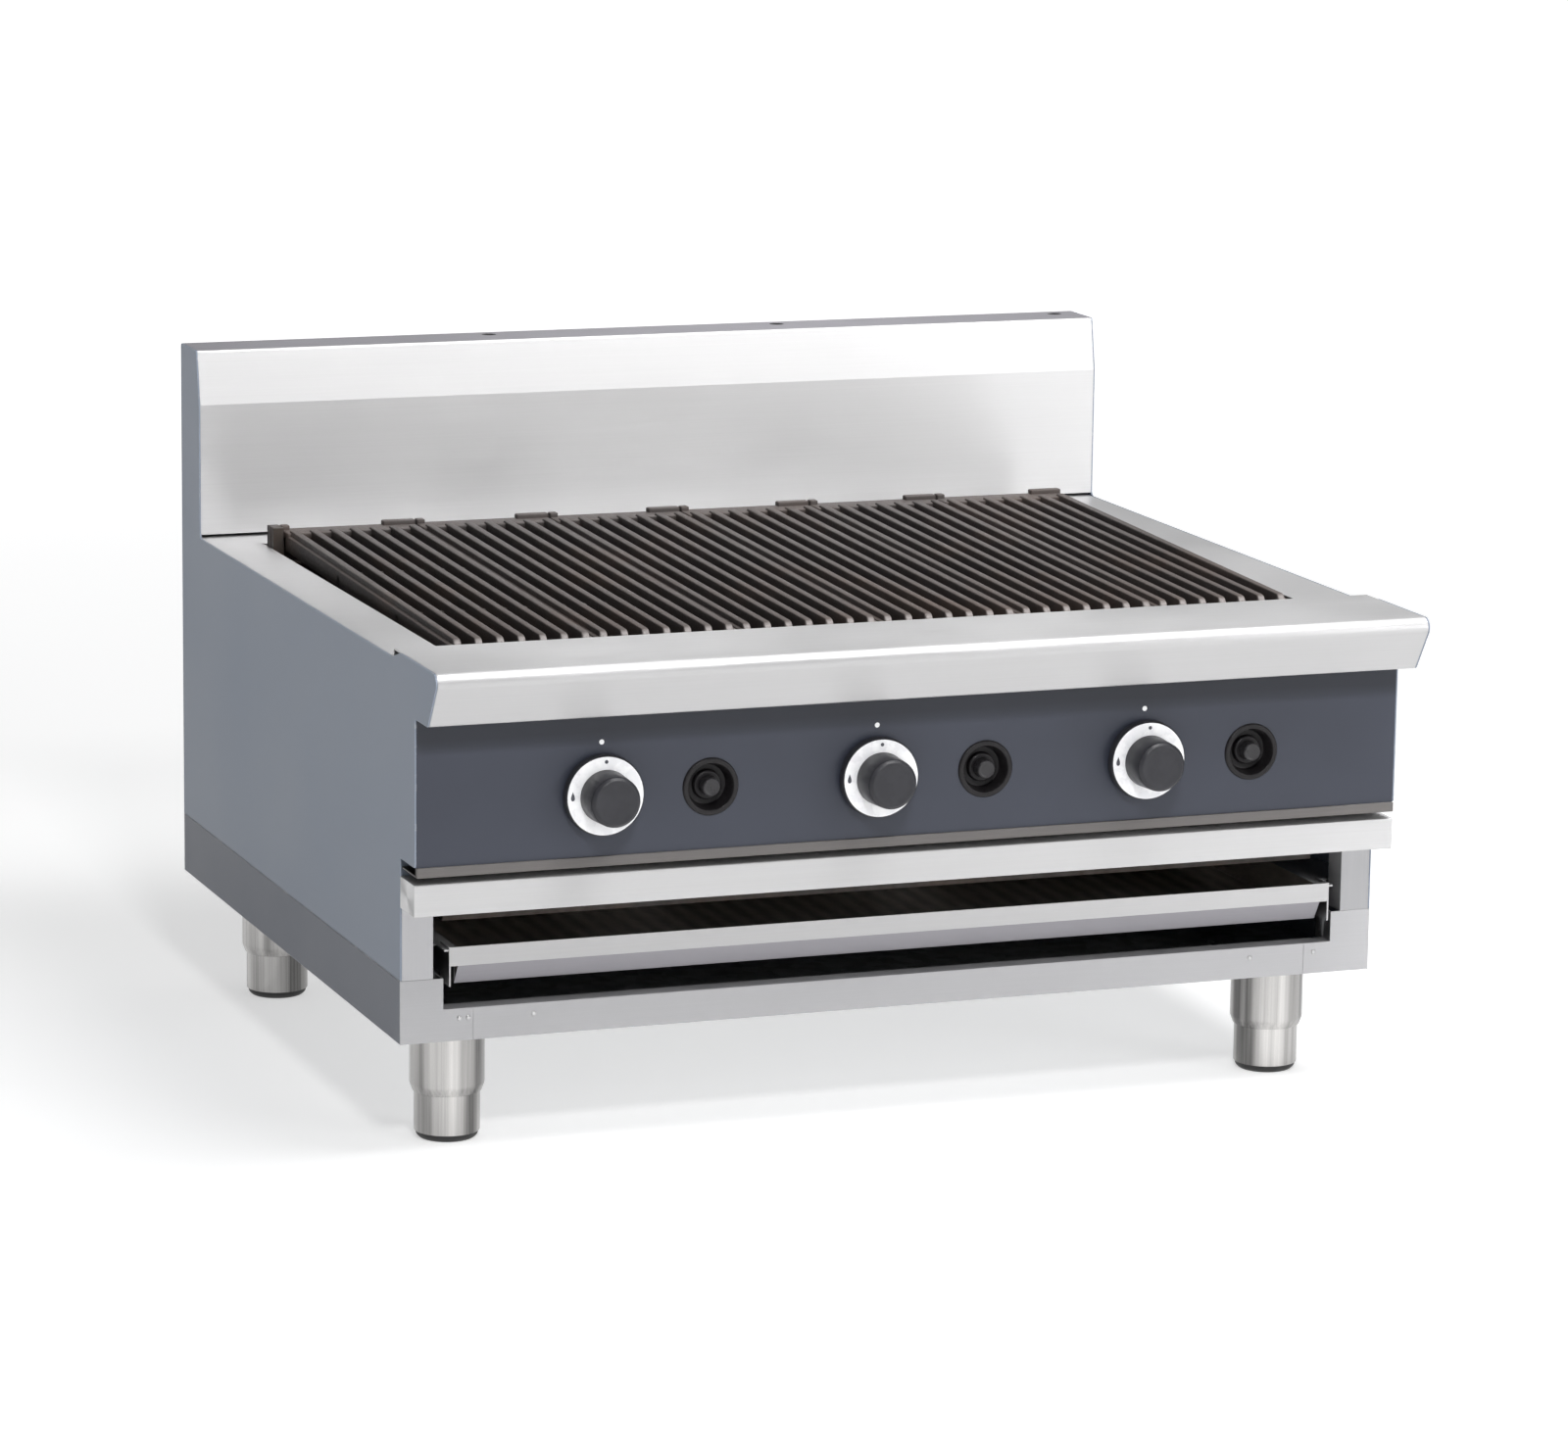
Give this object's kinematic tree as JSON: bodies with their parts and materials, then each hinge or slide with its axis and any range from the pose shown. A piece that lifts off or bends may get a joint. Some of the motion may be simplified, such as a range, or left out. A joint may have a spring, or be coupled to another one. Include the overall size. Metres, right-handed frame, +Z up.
{
  "type": "charbroiler grill",
  "caption": "Countertop gas charbroiler with lift-off cast-iron grates, splashback, push-and-turn gas knobs, igniter buttons, slide-out drip tray and adjustable legs.",
  "frame": {"origin": "on the floor, under the middle of the overall box", "axes": "+X to the right along the width, +Y to the back, +Z up; the front faces -Y"},
  "size_m": [0.9, 0.8, 0.605],
  "materials": {
    "stainless": "brushed stainless sheet, long grain along the width",
    "side_paint": "satin blue-grey powder coat",
    "base_paint": "satin dark grey powder coat",
    "panel_enamel": "satin dark blue-grey vitreous enamel",
    "galvanised": "galvanised sheet, dull spangle",
    "black_steel": "black enamelled inner sheet, baked and greasy",
    "leg_steel": "polished stainless tube",
    "rivet_steel": "stainless rivet heads",
    "plug_black": "black moulded plug",
    "brass": "cast and turned brass",
    "valve_steel": "turned steel",
    "dial_white": "pearl white moulded dial with dark printed symbols",
    "knob_black": "satin black moulded grip",
    "igniter_black": "satin black moulded housing",
    "button_black": "satin black moulded button",
    "grate_iron": "seasoned black cast iron",
    "burner_iron": "heat-dulled cast iron"
  },
  "bodies": {
    "chassis": {"back_panel": "galvanised", "base_floor": "galvanised", "base_front": "stainless", "base_rear_rail": "galvanised", "base_rivets": "rivet_steel", "burner_beams": "black_steel", "burner_left": "burner_iron", "burner_middle": "burner_iron", "burner_right": "burner_iron", "control_panel": "panel_enamel", "firebox": "black_steel", "flange_plugs": "plug_black", "front_rail": "stainless", "gas_inlet": "brass", "gas_manifold": "galvanised", "gas_valve_left": "brass", "gas_valve_middle": "brass", "gas_valve_right": "brass", "grate_rests": "black_steel", "hob_deck": "stainless", "igniter_housing_left": "igniter_black", "igniter_housing_middle": "igniter_black", "igniter_housing_right": "igniter_black", "left_base_side": "base_paint", "left_side_panel": "side_paint", "left_stile": "stainless", "leg_sleeves": "leg_steel", "panel_lip": "stainless", "pilot_burners": "valve_steel", "radiant_left": "burner_iron", "radiant_middle": "burner_iron", "radiant_right": "burner_iron", "right_base_side": "base_paint", "right_side_panel": "side_paint", "right_stile": "stainless", "splashback": "stainless", "tray_runners": "stainless"},
    "spindle_left": {"valve_stem_left": "valve_steel"},
    "knob_left": {"knob_dial_left": "dial_white", "knob_cap_left": "knob_black"},
    "spindle_middle": {"valve_stem_middle": "valve_steel"},
    "knob_middle": {"knob_dial_middle": "dial_white", "knob_cap_middle": "knob_black"},
    "spindle_right": {"valve_stem_right": "valve_steel"},
    "knob_right": {"knob_dial_right": "dial_white", "knob_cap_right": "knob_black"},
    "igniter_left": {"igniter_button_left": "button_black"},
    "igniter_middle": {"igniter_button_middle": "button_black"},
    "igniter_right": {"igniter_button_right": "button_black"},
    "grate_body_1": {"grate_1": "grate_iron"},
    "grate_body_2": {"grate_2": "grate_iron"},
    "grate_body_3": {"grate_3": "grate_iron"},
    "grate_body_4": {"grate_4": "grate_iron"},
    "grate_body_5": {"grate_5": "grate_iron"},
    "grate_body_6": {"grate_6": "grate_iron"},
    "tray_body": {"drip_tray": "stainless"},
    "foot_front_left": {"leg_foot_front_left": "leg_steel"},
    "foot_front_right": {"leg_foot_front_right": "leg_steel"},
    "foot_rear_left": {"leg_foot_rear_left": "leg_steel"},
    "foot_rear_right": {"leg_foot_rear_right": "leg_steel"}
  },
  "joints": [
    {"name": "knob_left_turn", "type": "hinge", "parent": "chassis", "child": "spindle_left", "pos_m": [-0.287, -0.345, 0.317], "axis": [0, -1, 0], "range_deg": [0, 270]},
    {"name": "knob_left_push", "type": "slide", "parent": "spindle_left", "child": "knob_left", "axis": [0, 1, 0], "range_m": [0, 0.003], "stiffness_N_per_m": 900, "springref_m": -0.004},
    {"name": "knob_middle_turn", "type": "hinge", "parent": "chassis", "child": "spindle_middle", "pos_m": [-0.04, -0.345, 0.317], "axis": [0, -1, 0], "range_deg": [0, 270]},
    {"name": "knob_middle_push", "type": "slide", "parent": "spindle_middle", "child": "knob_middle", "axis": [0, 1, 0], "range_m": [0, 0.003], "stiffness_N_per_m": 900, "springref_m": -0.004},
    {"name": "knob_right_turn", "type": "hinge", "parent": "chassis", "child": "spindle_right", "pos_m": [0.208, -0.345, 0.317], "axis": [0, -1, 0], "range_deg": [0, 270]},
    {"name": "knob_right_push", "type": "slide", "parent": "spindle_right", "child": "knob_right", "axis": [0, 1, 0], "range_m": [0, 0.003], "stiffness_N_per_m": 900, "springref_m": -0.004},
    {"name": "igniter_left_press", "type": "slide", "parent": "chassis", "child": "igniter_left", "axis": [0, 1, 0], "range_m": [0, 0.006], "stiffness_N_per_m": 700, "springref_m": -0.004},
    {"name": "igniter_middle_press", "type": "slide", "parent": "chassis", "child": "igniter_middle", "axis": [0, 1, 0], "range_m": [0, 0.006], "stiffness_N_per_m": 700, "springref_m": -0.004},
    {"name": "igniter_right_press", "type": "slide", "parent": "chassis", "child": "igniter_right", "axis": [0, 1, 0], "range_m": [0, 0.006], "stiffness_N_per_m": 700, "springref_m": -0.004},
    {"name": "grate_1_lift", "type": "slide", "parent": "chassis", "child": "grate_body_1", "axis": [0, 0, 1], "range_m": [0, 0.25]},
    {"name": "grate_2_lift", "type": "slide", "parent": "chassis", "child": "grate_body_2", "axis": [0, 0, 1], "range_m": [0, 0.25]},
    {"name": "grate_3_lift", "type": "slide", "parent": "chassis", "child": "grate_body_3", "axis": [0, 0, 1], "range_m": [0, 0.25]},
    {"name": "grate_4_lift", "type": "slide", "parent": "chassis", "child": "grate_body_4", "axis": [0, 0, 1], "range_m": [0, 0.25]},
    {"name": "grate_5_lift", "type": "slide", "parent": "chassis", "child": "grate_body_5", "axis": [0, 0, 1], "range_m": [0, 0.25]},
    {"name": "grate_6_lift", "type": "slide", "parent": "chassis", "child": "grate_body_6", "axis": [0, 0, 1], "range_m": [0, 0.25]},
    {"name": "drip_tray_slide", "type": "slide", "parent": "chassis", "child": "tray_body", "axis": [0, -1, 0], "range_m": [0, 0.5]},
    {"name": "foot_front_left_adjust", "type": "slide", "parent": "chassis", "child": "foot_front_left", "axis": [0, 0, -1], "range_m": [-0.01, 0.03]},
    {"name": "foot_front_right_adjust", "type": "slide", "parent": "chassis", "child": "foot_front_right", "axis": [0, 0, -1], "range_m": [-0.01, 0.03]},
    {"name": "foot_rear_left_adjust", "type": "slide", "parent": "chassis", "child": "foot_rear_left", "axis": [0, 0, -1], "range_m": [-0.01, 0.03]},
    {"name": "foot_rear_right_adjust", "type": "slide", "parent": "chassis", "child": "foot_rear_right", "axis": [0, 0, -1], "range_m": [-0.01, 0.03]}
  ]
}
